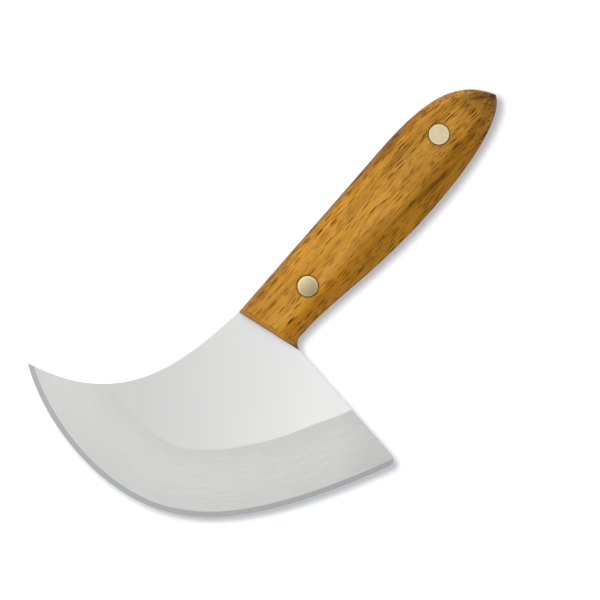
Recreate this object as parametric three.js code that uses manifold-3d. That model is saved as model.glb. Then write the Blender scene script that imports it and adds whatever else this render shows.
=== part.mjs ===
// Cheese knife: a wide curved blade, ground on both sides, whose full tang lies between two wooden
// scales held by two-part rivets. Millimetres. The knife lies on its side: +X runs from the butt to
// the blade along the line of the rivets, +Y towards the heel of the blade and +Z up.
// Plan sizes are measured from the point where the handle's front crosses the line of the rivets,
// and heights from the middle of the blade's thickness.
import * as THREE from "three";
import { mergeVertices } from "three/addons/utils/BufferGeometryUtils.js";
import Module from "manifold-3d";

const wasm = await Module();
wasm.setup();

// Sheet steel and grind
const SHEET_THICKNESS = 2; // the tang keeps it
const POLISH_DEPTH = 0.05; // taken off each face of the blade ahead of the handle
const BEVEL_WIDTH = 26; // from the cutting edge to the grind line
const SHOULDER_THICKNESS = 0.8; // where the wide bevel meets the honed one
const HONE_WIDTH = 2;
const EDGE_THICKNESS = 0.1;

// Cutting edge, in plan: from the tip round the furthest point to the heel
const TIP_AHEAD = 70.6;
const TIP_RISE = 62.8;
const TIP_ANGLE = 55.5; // degrees from the line of the rivets
const TIP_PULL = 16.8;
const REACH_AHEAD = 85.1;
const REACH_RISE = 13.5;
const REACH_PULL_TO_TIP = 16.2;
const REACH_PULL_TO_HEEL = 32.9;
const HEEL_AHEAD = 5.8; // before its corner is rounded
const HEEL_DROP = 71.1;
const HEEL_ANGLE = 24.4;
const HEEL_PULL = 68.6;
const HEEL_ROUND = 2.7;

// Hollow back edge of the blade, from the handle to the tip
const BACK_ROOT_ANGLE = 6.9;
const BACK_ROOT_PULL = 29;
const BACK_TIP_ANGLE = 77.4;
const BACK_TIP_PULL = 42;

// Fillet between the handle's neck and the straight heel side
const FILLET_RADIUS = 4.2;
const FRONT_ON_FILLET = 78; // degrees round the fillet, from the neck, where the scales end

// Handle, in plan
const HANDLE_LENGTH = 126.8;
const FRONT_SLANT = 8.4; // degrees that the front leans from square
const TOP_FRONT_RISE = 13.7;
const TOP_BACK_RISE = 13.3;
const TOP_STRAIGHT = 70;
const TOP_PULL = 26.4;
const BUTT_DROP = 6.7; // of the butt's corner below the line of the rivets
const BUTT_TOP_ANGLE = 72;
const BUTT_TOP_PULL = 21.7;
const BUTT_LOW_ANGLE = 57.5;
const BUTT_LOW_PULL = 11.1;
const NECK_DROP = 10.5;
const NECK_PULL = 20.3;
const PALM_DROP = 17.1;
const PALM_SETBACK = 79.9;
const PALM_PULL_FRONT = 36.5;
const PALM_PULL_BUTT = 12;

// Scales
const SCALE_THICKNESS = 8.5;
const SIDE_LAND = 1; // upright strip beside the tang, below the rounding
const TOP_SHARE = 0.2; // of the width, taken by the rounding along the top side
const LOW_SHARE = 0.3; // and by the broad slope along the low side
const TOP_FULLNESS = 1.5; // 2 is a quarter ellipse, 1 a straight chamfer
const LOW_FULLNESS = 1.12;
const BUTT_ROUND = 15; // rounding at the butt, along the handle
const FRONT_CHAMFER_WIDTH = 1.9;
const FRONT_CHAMFER_DEPTH = 1.5;

// Rivets
const FRONT_RIVET_SETBACK = 22.9; // behind the handle's front
const BACK_RIVET_INSET = 26.3; // ahead of the butt's corner
const HEAD_DIAMETER = 8;
const HEAD_THICKNESS = 1.8;
const HEAD_CHAMFER = 0.25;
const SHANK_DIAMETER = 3.2;
const SHANK_FIT = 0.05; // between shank and tube, on the radius
const TUBE_WALL = 0.85;
const BORE_FIT = 0.25; // round the tube and the heads, on the radius
const END_ROOM = 0.6; // left at the ends of shank and tube

// Facets
const EDGE_STEPS = 22; // in each half of the cutting edge
const BACK_STEPS = 18;
const HEEL_STEPS = 6;
const FILLET_STEPS = 7;
const NECK_STEPS = 14;
const BUTT_STEPS = 20;
const ROUND_STEPS = 8;
const RIVET_SIDES = 32;

const STEEL = new THREE.MeshStandardMaterial({ color: 0xd6d6d4, metalness: 1, roughness: 0.35 });
const WOOD = new THREE.MeshStandardMaterial({ color: 0xbd8838, metalness: 0, roughness: 0.55 });
const RIVET_METAL = new THREE.MeshStandardMaterial({ color: 0xcfc5a2, metalness: 1, roughness: 0.4 });

const radians = THREE.MathUtils.degToRad;
const point = (x, y) => new THREE.Vector2(x, y);
const towards = (from, length, degrees) =>
  point(from.x + length * Math.cos(radians(degrees)), from.y + length * Math.sin(radians(degrees)));
const bezier = (from, pull, otherPull, to, steps) =>
  new THREE.CubicBezierCurve(from, pull, otherPull, to).getPoints(steps);

// Main points and lines of the plan
const faceHeight = SHEET_THICKNESS / 2;
const bladeHeight = faceHeight - POLISH_DEPTH;
const handleHeight = faceHeight + SCALE_THICKNESS;
const frontAt = (y) => -y * Math.tan(radians(FRONT_SLANT));
const frontTop = point(frontAt(-TOP_FRONT_RISE), -TOP_FRONT_RISE);
const tip = point(TIP_AHEAD, -TIP_RISE);
const reach = point(REACH_AHEAD, -REACH_RISE);
const heel = point(HEEL_AHEAD, HEEL_DROP);
const buttCorner = point(-HANDLE_LENGTH, BUTT_DROP);
const palm = point(-PALM_SETBACK, PALM_DROP);
const topEnd = point(-TOP_STRAIGHT, -TOP_BACK_RISE);
const rivetPlaces = [-FRONT_RIVET_SETBACK, BACK_RIVET_INSET - HANDLE_LENGTH];
const tubeDiameter = SHANK_DIAMETER + 2 * (SHANK_FIT + TUBE_WALL);
const excess = 3 * SHEET_THICKNESS; // how far a cutter reaches past what it cuts

// Places along the cutting edge from tip to heel, with the direction of the edge at each
function edgeStations() {
  const tipPull = towards(tip, TIP_PULL, TIP_ANGLE);
  const upperPull = point(reach.x, reach.y - REACH_PULL_TO_TIP);
  const lowerPull = point(reach.x, reach.y + REACH_PULL_TO_HEEL);
  const heelPull = towards(heel, HEEL_PULL, -HEEL_ANGLE);
  const upper = new THREE.CubicBezierCurve(tip, tipPull, upperPull, reach);
  const lower = new THREE.CubicBezierCurve(reach, lowerPull, heelPull, heel);
  const stations = [];
  for (let step = 0; step <= 2 * EDGE_STEPS; step++) {
    const curve = step < EDGE_STEPS ? upper : lower;
    const share = step / EDGE_STEPS - (curve === lower ? 1 : 0);
    stations.push({ place: curve.getPoint(share), along: curve.getTangent(share) });
  }
  return stations;
}

// Other curves of the plan, each from its first named point to its second
function backFrontToTip() {
  const rootPull = towards(frontTop, BACK_ROOT_PULL, -BACK_ROOT_ANGLE);
  const tipPull = towards(tip, BACK_TIP_PULL, 180 - BACK_TIP_ANGLE);
  return bezier(frontTop, rootPull, tipPull, tip, BACK_STEPS);
}

// The fillet starts square to the neck, passes the low end of the handle's front and ends on the heel side.
const filletTurn = radians(FRONT_ON_FILLET);
const frontLowY = NECK_DROP + FILLET_RADIUS * (1 - Math.cos(filletTurn));
const filletCentre = point(
  frontAt(frontLowY) - FILLET_RADIUS * Math.sin(filletTurn),
  NECK_DROP + FILLET_RADIUS,
);
const neckAngle = -Math.PI / 2;
const frontAngle = neckAngle + filletTurn;
const toHeel = heel.clone().sub(filletCentre);
const heelSideAngle = toHeel.angle() - Math.acos(FILLET_RADIUS / toHeel.length());

function filletToNeck(fromAngle) {
  const arc = new THREE.EllipseCurve(
    filletCentre.x, filletCentre.y, FILLET_RADIUS, FILLET_RADIUS, fromAngle, neckAngle, true,
  );
  return arc.getPoints(FILLET_STEPS);
}

// The heel's corner, rounded from the cutting edge to the heel side
const edgeBackAngle = -radians(HEEL_ANGLE);
const sideBackAngle = heelSideAngle - Math.PI / 2;
const halfCorner = (edgeBackAngle - sideBackAngle) / 2;

function roundedHeel() {
  const middle = sideBackAngle + halfCorner;
  const centre = towards(heel, HEEL_ROUND / Math.sin(halfCorner), THREE.MathUtils.radToDeg(middle));
  const fromAngle = edgeBackAngle + Math.PI / 2;
  const toAngle = sideBackAngle - Math.PI / 2;
  const arc = new THREE.EllipseCurve(centre.x, centre.y, HEEL_ROUND, HEEL_ROUND, fromAngle, toAngle, false);
  return arc.getPoints(HEEL_STEPS);
}

// Places on the cutting edge that the rounded heel leaves
function edgeToHeel() {
  const taken = HEEL_ROUND / Math.tan(halfCorner);
  const places = edgeStations().map((station) => station.place);
  return places.filter((place) => place.distanceTo(heel) > taken);
}

function lowNeckToPalm() {
  const neck = point(filletCentre.x, NECK_DROP);
  const neckPull = point(neck.x - NECK_PULL, neck.y);
  const palmPull = point(palm.x + PALM_PULL_FRONT, palm.y);
  return bezier(neck, neckPull, palmPull, palm, NECK_STEPS);
}

function lowPalmToButt() {
  const palmPull = point(palm.x - PALM_PULL_BUTT, palm.y);
  const buttPull = towards(buttCorner, BUTT_LOW_PULL, BUTT_LOW_ANGLE);
  return bezier(palm, palmPull, buttPull, buttCorner, BUTT_STEPS);
}

function topStraightToButt() {
  const straightPull = point(topEnd.x - TOP_PULL, topEnd.y);
  const buttPull = towards(buttCorner, BUTT_TOP_PULL, -BUTT_TOP_ANGLE);
  return bezier(topEnd, straightPull, buttPull, buttCorner, BUTT_STEPS);
}

// Meshes and solids
function closedGeometry(positions, triangles) {
  const loose = new THREE.BufferGeometry();
  loose.setAttribute("position", new THREE.Float32BufferAttribute(positions, 3));
  loose.setIndex(triangles);
  const merged = mergeVertices(loose);
  const kept = [];
  for (let i = 0; i < merged.index.count; i += 3) {
    const [a, b, c] = merged.index.array.slice(i, i + 3);
    if (a !== b && b !== c && c !== a) kept.push(a, b, c);
  }
  merged.setIndex(kept);
  return merged;
}

function cleanGeometry(geometry) {
  const count = geometry.getAttribute("position").count;
  const triangles = geometry.index ? [...geometry.index.array] : [...Array(count).keys()];
  return closedGeometry([...geometry.getAttribute("position").array], triangles);
}

function solidFrom(geometry) {
  const clean = cleanGeometry(geometry);
  const mesh = new wasm.Mesh({
    numProp: 3,
    vertProperties: clean.getAttribute("position").array,
    triVerts: new Uint32Array(clean.index.array),
  });
  return new wasm.Manifold(mesh);
}

function geometryFrom(solid) {
  const mesh = solid.getMesh();
  const geometry = new THREE.BufferGeometry();
  geometry.setAttribute("position", new THREE.BufferAttribute(mesh.vertProperties, 3));
  geometry.setIndex(new THREE.BufferAttribute(mesh.triVerts, 1));
  return geometry;
}

function extruded(shape, low, high) {
  const geometry = new THREE.ExtrudeGeometry(shape, { depth: high - low, bevelEnabled: false });
  return geometry.translate(0, 0, low);
}

// A closed solid through rings with equal numbers of points, whose first and last rings are flat and convex
function lofted(rings) {
  const size = rings[0].length;
  const positions = rings.flat().flatMap((corner) => [corner.x, corner.y, corner.z]);
  const triangles = [];
  for (let ring = 0; ring + 1 < rings.length; ring++) {
    for (let i = 0; i < size; i++) {
      const next = (i + 1) % size;
      const [a, b] = [ring * size + i, ring * size + next];
      const [c, d] = [a + size, b + size];
      triangles.push(a, b, d, a, d, c);
    }
  }
  const last = (rings.length - 1) * size;
  for (let i = 1; i + 1 < size; i++) {
    triangles.push(0, i + 1, i, last, last + i, last + i + 1);
  }
  return closedGeometry(positions, triangles);
}

function turned(profile) {
  const points = profile.map(([radius, height]) => point(radius, height));
  return cleanGeometry(new THREE.LatheGeometry(points, RIVET_SIDES).rotateX(Math.PI / 2));
}

function roundCutter(x, diameter, low, high) {
  const circle = new THREE.Shape().absarc(x, 0, diameter / 2, 0, 2 * Math.PI, false);
  const outline = new THREE.Shape(circle.getPoints(RIVET_SIDES / 2).slice(0, -1));
  return solidFrom(extruded(outline, low, high));
}

// Blade
function blankOutline() {
  return new THREE.Shape([
    ...backFrontToTip().slice(0, -1),
    ...edgeToHeel(),
    ...roundedHeel(),
    ...filletToNeck(heelSideAngle),
    ...lowNeckToPalm().slice(1),
    ...lowPalmToButt().slice(1),
    ...topStraightToButt().reverse().slice(1),
  ]);
}

// Everything ahead of the handle's front, above the polished face
function polishCutter() {
  const far = REACH_AHEAD + excess;
  const topFar = -TIP_RISE - excess;
  const lowFar = HEEL_DROP + excess;
  const region = new THREE.Shape([
    point(frontAt(topFar), topFar),
    point(far, topFar),
    point(far, lowFar),
    point(frontAt(lowFar), lowFar),
  ]);
  return cleanGeometry(extruded(region, bladeHeight, faceHeight + excess));
}

// A wedge swept along the cutting edge, which takes off all that is above one ground face.
// The face rises from lowHeight at lowInset to highHeight at highInset, measured in from the edge.
function grindCutter(lowInset, lowHeight, highInset, highHeight) {
  const slope = (highHeight - lowHeight) / (highInset - lowInset);
  const near = lowInset - excess;
  const far = highInset + excess;
  const above = faceHeight + excess;
  const section = [
    [near, lowHeight - slope * excess],
    [far, highHeight + slope * excess],
    [far, above],
    [near, above],
  ];
  const stations = edgeStations();
  const past = (station, run) => ({
    place: station.place.clone().addScaledVector(station.along, run),
    along: station.along,
  });
  const route = [past(stations[0], -excess), ...stations, past(stations.at(-1), excess)];
  const rings = route.map(({ place, along }) => {
    const inward = point(-along.y, along.x);
    return section.map(([inset, height]) => {
      const spot = place.clone().addScaledVector(inward, inset);
      return new THREE.Vector3(spot.x, spot.y, height);
    });
  });
  return lofted(rings);
}

// The same cutter on the other face
function mirroredBelow(geometry) {
  const below = geometry.clone().scale(1, 1, -1);
  const triangles = [...below.index.array];
  for (let i = 0; i < triangles.length; i += 3) {
    [triangles[i + 1], triangles[i + 2]] = [triangles[i + 2], triangles[i + 1]];
  }
  below.setIndex(triangles);
  return below;
}

function bladeGeometry() {
  let blade = solidFrom(extruded(blankOutline(), -faceHeight, faceHeight));
  const cutters = [
    polishCutter(),
    grindCutter(HONE_WIDTH, SHOULDER_THICKNESS / 2, BEVEL_WIDTH, bladeHeight),
    grindCutter(0, EDGE_THICKNESS / 2, HONE_WIDTH, SHOULDER_THICKNESS / 2),
  ];
  for (const cutter of cutters) {
    blade = blade.subtract(solidFrom(cutter)).subtract(solidFrom(mirroredBelow(cutter)));
  }
  for (const x of rivetPlaces) {
    blade = blade.subtract(roundCutter(x, tubeDiameter + 2 * BORE_FIT, -excess, excess));
  }
  return geometryFrom(blade);
}

// Scales
// Matching places on the low and top sides, from the front to the butt's corner
function scaleStations() {
  const low = [...filletToNeck(frontAngle), ...lowNeckToPalm().slice(1)];
  const run = low[0].x - palm.x;
  const straight = low.map((place) => frontTop.clone().lerp(topEnd, (low[0].x - place.x) / run));
  const lowSide = [...low, ...lowPalmToButt().slice(1)];
  const topSide = [...straight, ...topStraightToButt().slice(1)];
  return lowSide.map((place, i) => ({ low: place, top: topSide[i] }));
}

// Height of a scale's outer face over the tang, which falls away towards the butt's corner
function scaleHeightAt(x) {
  const fromButt = THREE.MathUtils.clamp((x - buttCorner.x) / BUTT_ROUND, 0, 1);
  return SIDE_LAND + (SCALE_THICKNESS - SIDE_LAND) * Math.sqrt(1 - (1 - fromButt) ** 2);
}

// One cross-section: up the top side, over its rounding, across the flat, and down the low side.
// Each side is a superellipse between its land and the flat.
function scaleSection({ top, low }) {
  const width = top.distanceTo(low);
  const across = low.clone().sub(top).normalize();
  const rise = scaleHeightAt((top.x + low.x) / 2) - SIDE_LAND;
  const roundedSide = (start, inward, rounding, fullness) => {
    const corners = [new THREE.Vector3(start.x, start.y, faceHeight)];
    for (let step = 0; step <= ROUND_STEPS; step++) {
      const turn = (Math.PI / 2) * (step / ROUND_STEPS);
      const left = step < ROUND_STEPS ? Math.cos(turn) ** (2 / fullness) : 0;
      const risen = Math.sin(turn) ** (2 / fullness);
      const spot = start.clone().addScaledVector(inward, rounding * (1 - left));
      corners.push(new THREE.Vector3(spot.x, spot.y, faceHeight + SIDE_LAND + rise * risen));
    }
    return corners;
  };
  const topSide = roundedSide(top, across, TOP_SHARE * width, TOP_FULLNESS);
  const lowSide = roundedSide(low, across.clone().negate(), LOW_SHARE * width, LOW_FULLNESS);
  return [...topSide, ...lowSide.reverse()];
}

// A wedge along the front's upper edge, in a frame that runs inwards, up and along the front line
function chamferCutter() {
  const slope = FRONT_CHAMFER_DEPTH / FRONT_CHAMFER_WIDTH;
  const wedge = new THREE.Shape([
    point(-excess, -FRONT_CHAMFER_DEPTH - excess * slope),
    point(FRONT_CHAMFER_WIDTH + excess, excess * slope),
    point(-excess, excess * slope),
  ]);
  const span = TOP_FRONT_RISE + PALM_DROP + excess;
  const slant = radians(FRONT_SLANT);
  const inwards = new THREE.Vector3(-Math.cos(slant), -Math.sin(slant), 0);
  const up = new THREE.Vector3(0, 0, 1);
  const along = new THREE.Vector3().crossVectors(inwards, up);
  const frame = new THREE.Matrix4().makeBasis(inwards, up, along).setPosition(0, 0, handleHeight);
  return solidFrom(extruded(wedge, -span, span).applyMatrix4(frame));
}

function scaleGeometry() {
  let scale = solidFrom(lofted(scaleStations().map(scaleSection))).subtract(chamferCutter());
  const headSeat = handleHeight - HEAD_THICKNESS;
  for (const x of rivetPlaces) {
    scale = scale.subtract(roundCutter(x, tubeDiameter + 2 * BORE_FIT, -excess, handleHeight + excess));
    scale = scale.subtract(roundCutter(x, HEAD_DIAMETER + 2 * BORE_FIT, headSeat, handleHeight + excess));
  }
  return geometryFrom(scale);
}

// Rivets: heights run up from the middle of the blade, with the head flush with the outer face of its scale
const headProfile = [
  [HEAD_DIAMETER / 2, handleHeight - HEAD_THICKNESS],
  [HEAD_DIAMETER / 2, handleHeight - HEAD_CHAMFER],
  [HEAD_DIAMETER / 2 - HEAD_CHAMFER, handleHeight],
  [0, handleHeight],
];

function tubeRivetGeometry() {
  const bore = SHANK_DIAMETER / 2 + SHANK_FIT;
  const underHead = handleHeight - HEAD_THICKNESS;
  const tubeEnd = END_ROOM - underHead;
  return turned([
    [0, underHead],
    [bore, underHead],
    [bore, tubeEnd],
    [tubeDiameter / 2, tubeEnd],
    [tubeDiameter / 2, underHead],
    ...headProfile,
  ]);
}

function shankRivetGeometry() {
  const shankEnd = END_ROOM + HEAD_THICKNESS - handleHeight;
  return turned([
    [0, shankEnd],
    [SHANK_DIAMETER / 2, shankEnd],
    [SHANK_DIAMETER / 2, handleHeight - HEAD_THICKNESS],
    ...headProfile,
  ]);
}

// Assembly
function piece(name, geometry, material) {
  const mesh = new THREE.Mesh(geometry, material);
  mesh.name = name;
  return mesh;
}

const knife = new THREE.Group();
knife.add(piece("blade", bladeGeometry(), STEEL));

const upperScale = piece("upper_scale", scaleGeometry(), WOOD);
const lowerScale = piece("lower_scale", upperScale.geometry, WOOD);
lowerScale.scale.z = -1;
knife.add(upperScale, lowerScale);

["front", "back"].forEach((name, i) => {
  const tube = piece(`${name}_rivet_tube`, tubeRivetGeometry(), RIVET_METAL);
  const shank = piece(`${name}_rivet_shank`, shankRivetGeometry(), RIVET_METAL);
  tube.position.x = rivetPlaces[i];
  shank.position.x = rivetPlaces[i];
  shank.rotation.x = Math.PI;
  knife.add(tube, shank);
});

// The part's frame: the origin lies under the middle of the knife, on the surface that it rests on.
const box = new THREE.Box3().setFromObject(knife);
const middle = box.getCenter(new THREE.Vector3());
knife.position.set(-middle.x, -middle.y, -box.min.z);

const part = new THREE.Group();
part.name = "cheese_knife";
part.add(knife);
export default part;
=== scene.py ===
import math

import bmesh
import bpy
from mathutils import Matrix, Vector
from mathutils.geometry import delaunay_2d_cdt


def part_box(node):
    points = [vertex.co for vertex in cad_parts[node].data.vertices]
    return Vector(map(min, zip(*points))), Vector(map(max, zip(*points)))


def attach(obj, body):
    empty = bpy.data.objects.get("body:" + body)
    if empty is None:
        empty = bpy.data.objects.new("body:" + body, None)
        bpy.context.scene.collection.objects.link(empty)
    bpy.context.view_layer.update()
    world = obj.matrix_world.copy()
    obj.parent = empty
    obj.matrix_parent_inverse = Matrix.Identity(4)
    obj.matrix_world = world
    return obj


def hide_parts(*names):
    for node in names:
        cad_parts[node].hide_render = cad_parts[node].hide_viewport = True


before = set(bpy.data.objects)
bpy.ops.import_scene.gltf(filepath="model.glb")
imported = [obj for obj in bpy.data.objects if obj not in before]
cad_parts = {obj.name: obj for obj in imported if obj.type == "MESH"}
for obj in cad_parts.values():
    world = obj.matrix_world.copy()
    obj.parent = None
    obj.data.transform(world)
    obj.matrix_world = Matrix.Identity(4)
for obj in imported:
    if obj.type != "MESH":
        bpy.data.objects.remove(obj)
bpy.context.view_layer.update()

MM = 0.001
SAME_PLACE = 1e-6  # metres, within which corners are one

# Sheet steel and grind, in millimetres
SHEET_THICKNESS = 2.0
POLISH_DEPTH = 0.05
BEVEL_WIDTH = 26.0
SHOULDER_THICKNESS = 0.8
HONE_WIDTH = 2.0
EDGE_THICKNESS = 0.1
BROKEN_EDGE = 0.1  # corner taken off the back and the heel side

# Plan of the blade, from the point where the handle's front crosses the line of the rivets
TIP = Vector((70.6, -62.8))
TIP_ANGLE = 55.5
TIP_PULL = 16.8
REACH = Vector((85.1, -13.5))
REACH_PULL_TO_TIP = 16.2
REACH_PULL_TO_HEEL = 32.9
HEEL = Vector((5.8, 71.1))  # before its corner is rounded
HEEL_ANGLE = 24.4
HEEL_PULL = 68.6
HEEL_ROUND = 2.7
BACK_ROOT_ANGLE = 6.9
BACK_ROOT_PULL = 29.0
BACK_TIP_ANGLE = 77.4
BACK_TIP_PULL = 42.0
FILLET_RADIUS = 4.2
FRONT_ON_FILLET = 78.0

# Plan of the handle
FRONT_SLANT = 8.4
TOP_FRONT_RISE = 13.7
TOP_END = Vector((-70.0, -13.3))
TOP_PULL = 26.4
BUTT = Vector((-126.8, 6.7))
BUTT_TOP_ANGLE = 72.0
BUTT_TOP_PULL = 21.7
BUTT_LOW_ANGLE = 57.5
BUTT_LOW_PULL = 11.1
NECK_DROP = 10.5
NECK_PULL = 20.3
PALM = Vector((-79.9, 17.1))
PALM_PULL_FRONT = 36.5
PALM_PULL_BUTT = 12.0

# Scales
SCALE_THICKNESS = 8.5
SIDE_LAND = 1.0
TOP_SHARE = 0.2  # of the width, taken by the rounding along the top side
LOW_SHARE = 0.3
TOP_FULLNESS = 1.5  # 2 is a quarter ellipse, 1 a straight chamfer
LOW_FULLNESS = 1.12
RIDGE_WEAR_FRONT = 3.0  # how far the low ridge is worn round to each side
RIDGE_WEAR_BACK = 1.2
RIDGE_WEAR_START = 45.0  # behind the front, where the wear starts to narrow
RIDGE_WEAR_RUN = 40.0
LEAST_WEAR = 1e-6  # so that nothing is divided by nought
RIDGE_STEEPNESS = 0.7  # of the low slope's mean, just below the ridge
WORN_SHARE = 0.15  # of the way from flat to outline, given to the wear on the flat
BUTT_ROUND = 15.0
FRONT_CHAMFER_WIDTH = 1.9
FRONT_CHAMFER_DEPTH = 1.5
CHAMFER_WEAR = 0.35  # how far the chamfer's corner is worn round
SEAM_CORNER = 0.2  # corner taken off where wood meets steel
GRAIN_TURN = 0.5  # degrees between the grain and the line of the rivets
GRAIN_WANDER = 1.8
GRAIN_BEND = 0.001  # sideways run of the grain, by the square of the way past the start of its bend
GRAIN_BEND_START = 60.0  # behind the front

# Stains on the wood, and painted shade in the low front corner: place in the plan, half length, half width,
# turn in degrees, strength
STAINS_AND_SHADE = [
    (Vector((-84.0, -6.2)), 17.0, 1.7, 0.5, 0.45),
    (Vector((-82.0, -11.4)), 12.0, 2.6, 0.5, 0.42),
    (Vector((-62.0, -6.5)), 16.0, 3.6, 0.5, 0.24),
    (Vector((-52.0, 5.0)), 24.0, 3.0, 6.0, 0.32),
    (Vector((-12.0, -11.8)), 20.0, 2.6, 0.5, 0.4),
    (Vector((-29.3, 5.5)), 3.5, 1.0, 4.0, 0.6),
    (Vector((-82.0, 11.0)), 24.0, 1.5, 6.0, 0.6),
    # Painted shade in the corner where the handle's low front meets the blade
    (Vector((-2.1, 11.8)), 2.2, 1.6, 4.0, 0.9),
    (Vector((-121.8, 2.9)), 6.5, 1.0, 40.0, 0.6),
    (Vector((-126.0, 6.4)), 3.0, 2.4, 0.0, 0.8),
    (Vector((-123.1, 9.7)), 6.5, 2.4, -57.5, 0.3),
]

# Rivets
FRONT_RIVET_SETBACK = 22.9
HEAD_RADIUS = 4.0
HEAD_THICKNESS = 1.8
HEAD_DOME = 0.1
HEAD_CORNER = 0.12
SHANK_RADIUS = 1.6
TUBE_BORE_RADIUS = 1.65
TUBE_RADIUS = 2.5
BORE_FIT = 0.25
END_ROOM = 0.6
# Share of the duller colour and of the painted light and shade across the head, on the front and the back
# rivet
DULLING_AND_SHADE_SHARE = (0.95, 0.1)  # front and back rivet
# Painted shade in the wood round the front and the back rivet head, and how far it reaches
SEAT_SHADE = (0.62, 0.32)  # round the front and the back rivet
SEAT_SHADE_REACH = 0.8
# Painted light and shade across the front rivet's head: darkest at the first pixel, lightest at the second
SHADED_PIXEL = (313.8, 294.6)  # where the front head is darkest in the image, and where lightest
LIT_PIXEL = (301.6, 278.0)
TUBE_SPIN_SEED = 3
SHANK_SPIN_SEED = 5

# Metals, as the share of light they throw back, at both ends of a change: painted reflection along the
# blade for the flat, the bevel and the hone, lines and clouds in the finish for the rest
# Flat and bevel: painted reflection, the flat lighter towards the heel
FLAT_STEEL = ((0.668, 0.668, 0.665), (0.862, 0.862, 0.858))
GROUND_STEEL = ((0.662, 0.662, 0.659), (0.645, 0.645, 0.642))
STEEL_PIXELS = ((150, 400), (320, 400))  # where both of these start to change in the image, and end
# Hone: painted reflection, darker from the tip towards the heel
HONED_STEEL = ((0.49, 0.49, 0.49), (0.405, 0.405, 0.405))
HONE_PIXELS = ((30, 370), (390, 370))
SAWN_STEEL = ((0.42, 0.42, 0.415), (0.64, 0.64, 0.635))  # in the saw's lines and between them
GRIND_MIDDLE = Vector((5.0, -8.0))  # about which the lines of the grind run
GRIND_ALONG = 6.0  # how fast the lines change along the edge, by the radian
GRIND_ACROSS = 1.6  # and across the bevel, by the millimetre
FLAT_ROUGHNESS = (0.279, 0.285)
GROUND_ROUGHNESS = (0.42, 0.34)
RIVET_ROUGHNESS = (0.3, 0.42)
CLEAN_RIVET = ((0.675, 0.59, 0.395), (0.745, 0.66, 0.46))  # between the clouds on it and in them
DULL_RIVET = ((0.51, 0.43, 0.24), (0.6, 0.51, 0.29))
# Yellower colour at the rim of each head: painted highlight
PAINTED_RIM_HIGHLIGHT = (0.79, 0.63, 0.35)

# Wood, in colours as they look on a screen, from 0 to 255
WOOD_DEEP = (184, 126, 38)
WOOD_LIGHT = (206, 154, 66)
WOOD_STREAK = (152, 98, 24)
WOOD_SMUDGE = (144, 96, 32)
WOOD_CHAMFER = (160, 117, 59)
VESSEL = (82, 42, 5)
# Darker on the low slope: painted shade
VESSEL_ON_LOW_SLOPE = (66, 30, 3)
DIRT_ON_RIM = (96, 74, 38)
DIRT_ON_CHAMFER = (104, 62, 14)
DARK_AT_SEAM = (92, 60, 20)
# Painted shade round the rivet heads
SHADE_ROUND_RIVET = (92, 58, 14)
WOOD_ROUGHNESS = (0.5, 0.42)
VESSEL_ROUGHNESS = 0.25  # more than the wood's
WOOD_SHEEN = 0.12

# Tints that multiply the colour of the wood
TOP_SLOPE_TINT = (1.0, 0.93, 0.6)
LOW_SLOPE_TINT = (1.0, 0.91, 0.31)
# Painted shade on the low slope
LOW_SLOPE_SHADE = (0.45, 0.38, 0.3)
HANDLED_TINT = (0.42, 0.38, 0.4)
# Darker end grain at the butt, partly painted shade where its rounding turns from the light
BUTT_TINT = (0.25, 0.24, 0.3)
# For the stains, and for the painted shade in the low front corner
STAIN_AND_SHADE_TINT = (0.25, 0.2, 0.1)

# Degrees between faces, past which the edge between them is sharp
SHARP_GRIND = 0.7
SHARP_WOOD = 35.0
SHARP_RIVET = 28.0

# Steps along curves
EDGE_STEPS = 150
BACK_STEPS = 120
HEEL_STEPS = 6
FILLET_STEPS = 20
NECK_STEPS = 70
BUTT_STEPS = 70
ROUND_STEPS = 18
RIDGE_STEPS = 4
TURNED_SIDES = 72

# Photograph's frame: pixels of a 600 by 600 image, square on to the knife
IMAGE_SIDE = 600
PIXEL = 0.388  # millimetres
FRONT_RIVET_PIXEL = Vector((307.7, 286.3))
AXIS_IN_IMAGE = Vector((-0.6535, 0.7569))  # +X of the knife, with image y downwards
CAMERA_HEIGHT = 2.5
CAMERA_REACH = 20.0
SENSOR = 36.0

# Studio: directions are as seen in the image, to the right, to the top and towards the camera
WHITE = (1, 1, 1, 1)
KEY_DIRECTION = (-0.21, 0.17, 1.0)
KEY_DISTANCE = 1.0
KEY_SIDE = 0.32
KEY_POWER = 8.2
GLOW_DIRECTION = (0.08, -0.02, 1.0)
GLOW_NARROWNESS = 9.0
GLOW_STRENGTH = 1.15
SKY_STRENGTH = (0.08, 0.22)  # low and overhead
FLOOR_COLOUR = (0.74, 0.758, 0.795, 1)
FLOOR_REACH = 3.0
FLOOR_LIFT = 0.26  # light added where the floor is seen, so that it is white

# Where the plan lies in the frame
front_rivet = sum(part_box("front_rivet_tube"), Vector()) / 2
back_rivet = sum(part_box("back_rivet_tube"), Vector()) / 2
mid_height = (sum(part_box("blade"), Vector()) / 2).z
plan_origin = Vector((front_rivet.x + FRONT_RIVET_SETBACK * MM, front_rivet.y))
rivet_plan = [Vector((spot.x - plan_origin.x, 0)) / MM for spot in (front_rivet, back_rivet)]
across_image = Vector((AXIS_IN_IMAGE.y, -AXIS_IN_IMAGE.x))  # +Y of the knife in the image
face_height = SHEET_THICKNESS / 2
handle_height = face_height + SCALE_THICKNESS


def in_frame(place, height=0.0):
    """A plan place and a height over the middle of the blade, in the frame."""
    across = plan_origin + place * MM
    return Vector((across.x, across.y, mid_height + height * MM))


# Curves of the plan
def towards(start, length, degrees):
    turn = math.radians(degrees)
    return start + length * Vector((math.cos(turn), math.sin(turn)))


def bezier(start, pull, other_pull, end, steps):
    places = []
    for step in range(steps + 1):
        t = step / steps
        s = 1 - t
        places.append(s**3 * start + 3 * s * s * t * pull + 3 * s * t * t * other_pull + t**3 * end)
    return places


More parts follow.
